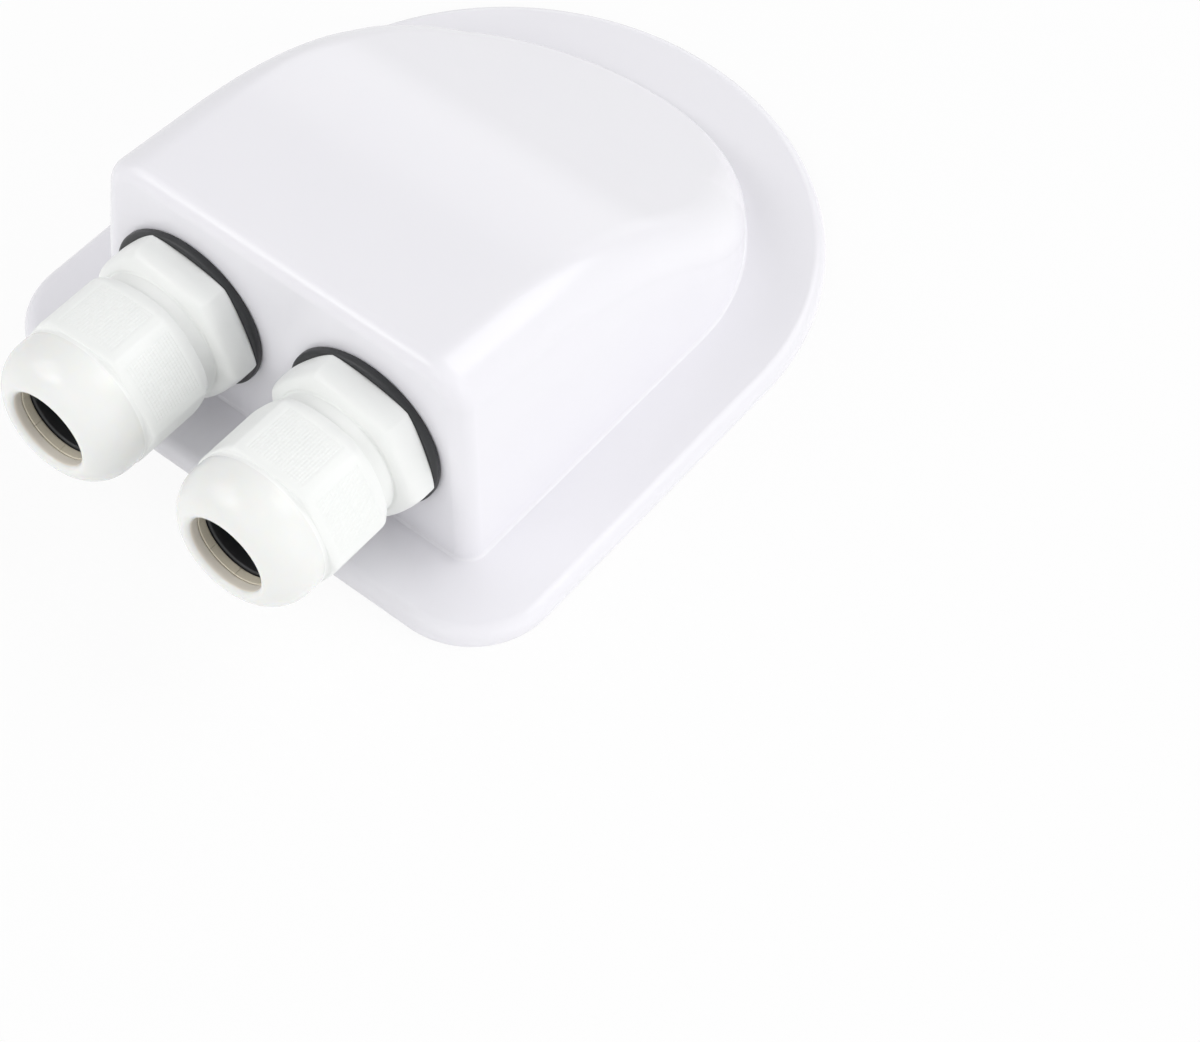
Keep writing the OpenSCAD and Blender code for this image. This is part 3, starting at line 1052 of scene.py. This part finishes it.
        def ribbed(i: int, r: float, w: float) -> bool:
            """Tells whether a grid point lies in the ribbed field of a flat.

            Args:
                i, r, w: as for a Shape.

            Returns:
                True in the field.
            """
            lateral = abs(2 * (i % flat_count) / flat_count - 1) * half_width
            along = r > self.nut_r - NEAR and rib_low < w < rib_high
            return along and lateral < half_width - self.rib_side_margin

        def shape(a: float, r: float, w: float, i: int, j: int) -> float:
            """Cuts the flats, runs them out into the round valley, and sinks the grooves between the ribs.

            Args:
                a, r, w, i, j: as for a Shape.

            Returns:
                The radius there.
            """
            if r <= bore or w >= dome_w:
                return r
            flats = self.hexagon(self.nut_flats, self.nut_turn, a)
            if w < rib_high:
                cut = soft_min(flats, r, self.corner_blend)
            else:
                section = soft_min(flats, self.nut_r, self.corner_blend)
                cut = section + (valley_r - section) * (self.nut_r - r) / (self.nut_r - valley_r)
            radius = r + (cut - r) * min(1.0, (dome_w - w) / self.dome_back)
            grooved = ribbed(i, r, w) and (i % 2 == 1 or j % 2 == 1)
            return radius - self.rib_depth if grooved else radius

        piece = self.revolve(self.name("clamping_nut"), loop, angles, shape)
        count = len(angles)
        ribs = frozenset(j * count + i for j, (r, w) in enumerate(loop)
                         for i in range(count) if ribbed(i, r, w))
        finish_mesh(piece, self.sharp_deg, ribs)
        dress(piece, f"{self.side.value}_nut", "gland_nylon", self.name("dome_nut"),
              pebbled, polished, lip)
        nose_y = (self.front_y - self.nut_shoulder - self.valley_radius) * MM
        for face in piece.data.polygons:
            zone = NutZone.HEXAGON
            if face.center.y < nose_y:
                reach = math.hypot(face.center.x / MM - self.axis.x, face.center.z / MM - self.axis.z)
                # Faces inside the hole get the nylon with the painted warm shade
                zone = NutZone.HOLE if reach < self.hole_r + self.painted_shade_reach else NutZone.NOSE
            face.material_index = zone.value

    def build(self, finishes: dict[str, bpy.types.Material]) -> None:
        """Builds and dresses every piece of the gland.

        Args:
            finishes: materials by the name of their finish.
        """
        self.washer(finishes[RUBBER_PRESSED.name])
        self.body(finishes[NYLON_PEBBLED.name])
        self.locknut(finishes[NYLON_PEBBLED.name])
        self.dome_nut(finishes[NYLON_PEBBLED.name], finishes[NYLON_POLISHED.name],
                      finishes[NYLON_LIP_PAINTED_SHADE.name])
        self.claws(finishes[NYLON_NATURAL.name])
        self.seal(finishes[RUBBER_PRESSED.name])


@dataclass(frozen=True)
class SoftBox:
    """A square studio lamp that faces the box.

    Args:
        name: the lamp's name.
        azimuth: direction it stands in, in degrees, 0 in front of the glands and 90 to their right.
        elevation: its height above the horizon, in degrees.
        distance: metres from the middle of the box.
        size: width in metres.
        watts: power.
        mirrored: whether it shows in reflections.
    """

    name: str
    azimuth: float
    elevation: float
    distance: float
    size: float
    watts: float
    mirrored: bool = True

    def build(self) -> None:
        """Places the lamp."""
        data = bpy.data.lights.new(self.name, "AREA")
        data.size = self.size
        data.energy = self.watts
        lamp = bpy.data.objects.new(self.name, data)
        lamp.visible_glossy = self.mirrored
        bpy.context.scene.collection.objects.link(lamp)
        a, e = math.radians(self.azimuth), math.radians(self.elevation)
        away = Vector((math.sin(a) * math.cos(e), -math.cos(a) * math.cos(e), math.sin(e)))
        lamp.location = away * self.distance
        lamp.rotation_euler = away.to_track_quat("Z", "Y").to_euler()


@dataclass
class Studio:
    """White floor, soft light and the camera at the photograph's angle."""

    camera_azimuth: float = 32.91
    camera_elevation: float = 54.06
    camera_roll: float = 6.06
    camera_place: Point3 = (0.18965, -0.24135, 0.36925)
    focal_px: float = 3076.3
    sensor_mm: float = 36.0
    floor_size: float = 6.0
    floor_shadow: float = 0.1
    world_colour: str = "#FEFEFF"
    world_strength: float = 0.385
    paper_colour: str = "#F4F4F4"
    # A lamp that other views would see mirrored in the roof stays out of reflections
    lamps: tuple[SoftBox, ...] = (
        SoftBox("right_softbox", 95, 20, 1.2, 0.8, 4.4, mirrored=False),
        SoftBox("back_right_softbox", 150, 45, 1.2, 0.8, 3.9),
        SoftBox("side_back_softbox", 125, 24, 1.2, 0.8, 1.5, mirrored=False),
        SoftBox("left_front_softbox", -50, 40, 1.2, 0.8, 2.8),
        SoftBox("front_edge_light", -29, 42, 1.2, 0.35, 0.8),
        SoftBox("front_softbox", 0, 30, 1.2, 0.8, 3.9, mirrored=False),
        SoftBox("back_softbox", 202, 11, 1.2, 0.9, 1.8),
    )

    def camera(self) -> None:
        """Places the camera."""
        a, e, roll = (math.radians(v) for v in (self.camera_azimuth, self.camera_elevation, self.camera_roll))
        right = Vector((math.cos(a), math.sin(a), 0.0))
        back = Vector((math.sin(a) * math.cos(e), -math.cos(a) * math.cos(e), math.sin(e)))
        up = back.cross(right)
        turned_right = right * math.cos(roll) + up * math.sin(roll)
        turned_up = back.cross(turned_right)
        data = bpy.data.cameras.new("camera")
        data.sensor_width = self.sensor_mm
        data.lens = self.focal_px * self.sensor_mm / PHOTO_WIDTH_PX
        camera = bpy.data.objects.new("camera", data)
        bpy.context.scene.collection.objects.link(camera)
        axes = Matrix((turned_right, turned_up, back)).transposed().to_4x4()
        camera.matrix_world = Matrix.Translation(self.camera_place) @ axes
        bpy.context.scene.camera = camera

    def seen_as_white(self, tree: bpy.types.NodeTree) -> bpy.types.NodeSocket:
        """Gives a factor of 1 for rays from the camera, in reflections and through glass.

        Args:
            tree: the node tree that gets the nodes.

        Returns:
            The socket that gives the factor.
        """
        path = add_node(tree, "ShaderNodeLightPath")
        mirror = add_node(tree, "ShaderNodeMath", {"operation": "MAXIMUM"},
                          {0: path.outputs["Is Camera Ray"], 1: path.outputs["Is Glossy Ray"]})
        return add_node(tree, "ShaderNodeMath", {"operation": "MAXIMUM"},
                        {0: mirror.outputs[0], 1: path.outputs["Is Transmission Ray"]}).outputs[0]

    def world(self) -> None:
        """Sets the soft light from all around, and the white that the camera sees."""
        world = bpy.data.worlds.new("studio")
        world.use_nodes = True
        bpy.context.scene.world = world
        tree = world.node_tree
        tree.nodes.clear()
        seen = self.seen_as_white(tree)
        light = add_node(tree, "ShaderNodeBackground",
                         {"Color": linear(self.world_colour), "Strength": self.world_strength})
        white = add_node(tree, "ShaderNodeBackground", {"Color": linear(WHITE), "Strength": 1.0})
        mix = add_node(tree, "ShaderNodeMixShader", links={0: seen, 1: light.outputs[0], 2: white.outputs[0]})
        add_node(tree, "ShaderNodeOutputWorld", links={"Surface": mix.outputs[0]})

    def floor(self) -> None:
        """Lays the white floor, which keeps a faint shadow."""
        mesh = bmesh.new()
        bmesh.ops.create_grid(mesh, x_segments=1, y_segments=1, size=self.floor_size / 2)
        floor = mesh_object("floor", mesh)
        made = bpy.data.materials.new("white_paper_sweep")
        made.use_nodes = True
        tree = made.node_tree
        tree.nodes.clear()
        paper = add_node(tree, "ShaderNodeBsdfDiffuse", {"Color": linear(self.paper_colour)})
        glow = add_node(tree, "ShaderNodeEmission", {"Color": linear(WHITE), "Strength": 1.0})
        share = add_node(tree, "ShaderNodeMath", {"operation": "MULTIPLY", 1: 1 - self.floor_shadow},
                         {0: self.seen_as_white(tree)})
        mix = add_node(tree, "ShaderNodeMixShader",
                       links={0: share.outputs[0], 1: paper.outputs[0], 2: glow.outputs[0]})
        add_node(tree, "ShaderNodeOutputMaterial", links={"Surface": mix.outputs[0]})
        floor.data.materials.append(made)

    def build(self) -> None:
        """Builds the camera, the light and the floor."""
        self.camera()
        self.world()
        self.floor()
        for lamp in self.lamps:
            lamp.build()
        bpy.context.scene.view_settings.view_transform = "Standard"


def main() -> None:
    """Builds the studio and the box."""
    logging.basicConfig(level=logging.INFO, format="%(message)s")
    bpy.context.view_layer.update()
    Studio().build()
    finishes = {f.name: f.material() for f in
                (ABS_POLISHED, NYLON_PEBBLED, NYLON_POLISHED, NYLON_LIP_PAINTED_SHADE, NYLON_NATURAL, RUBBER_PRESSED)}
    Housing().build(finishes[ABS_POLISHED.name])
    Gland(Side.LEFT, body_turn=-6, nut_turn=4).build(finishes)
    Gland(Side.RIGHT, body_turn=-8, nut_turn=-4).build(finishes)


if __name__ == "__main__":
    main()
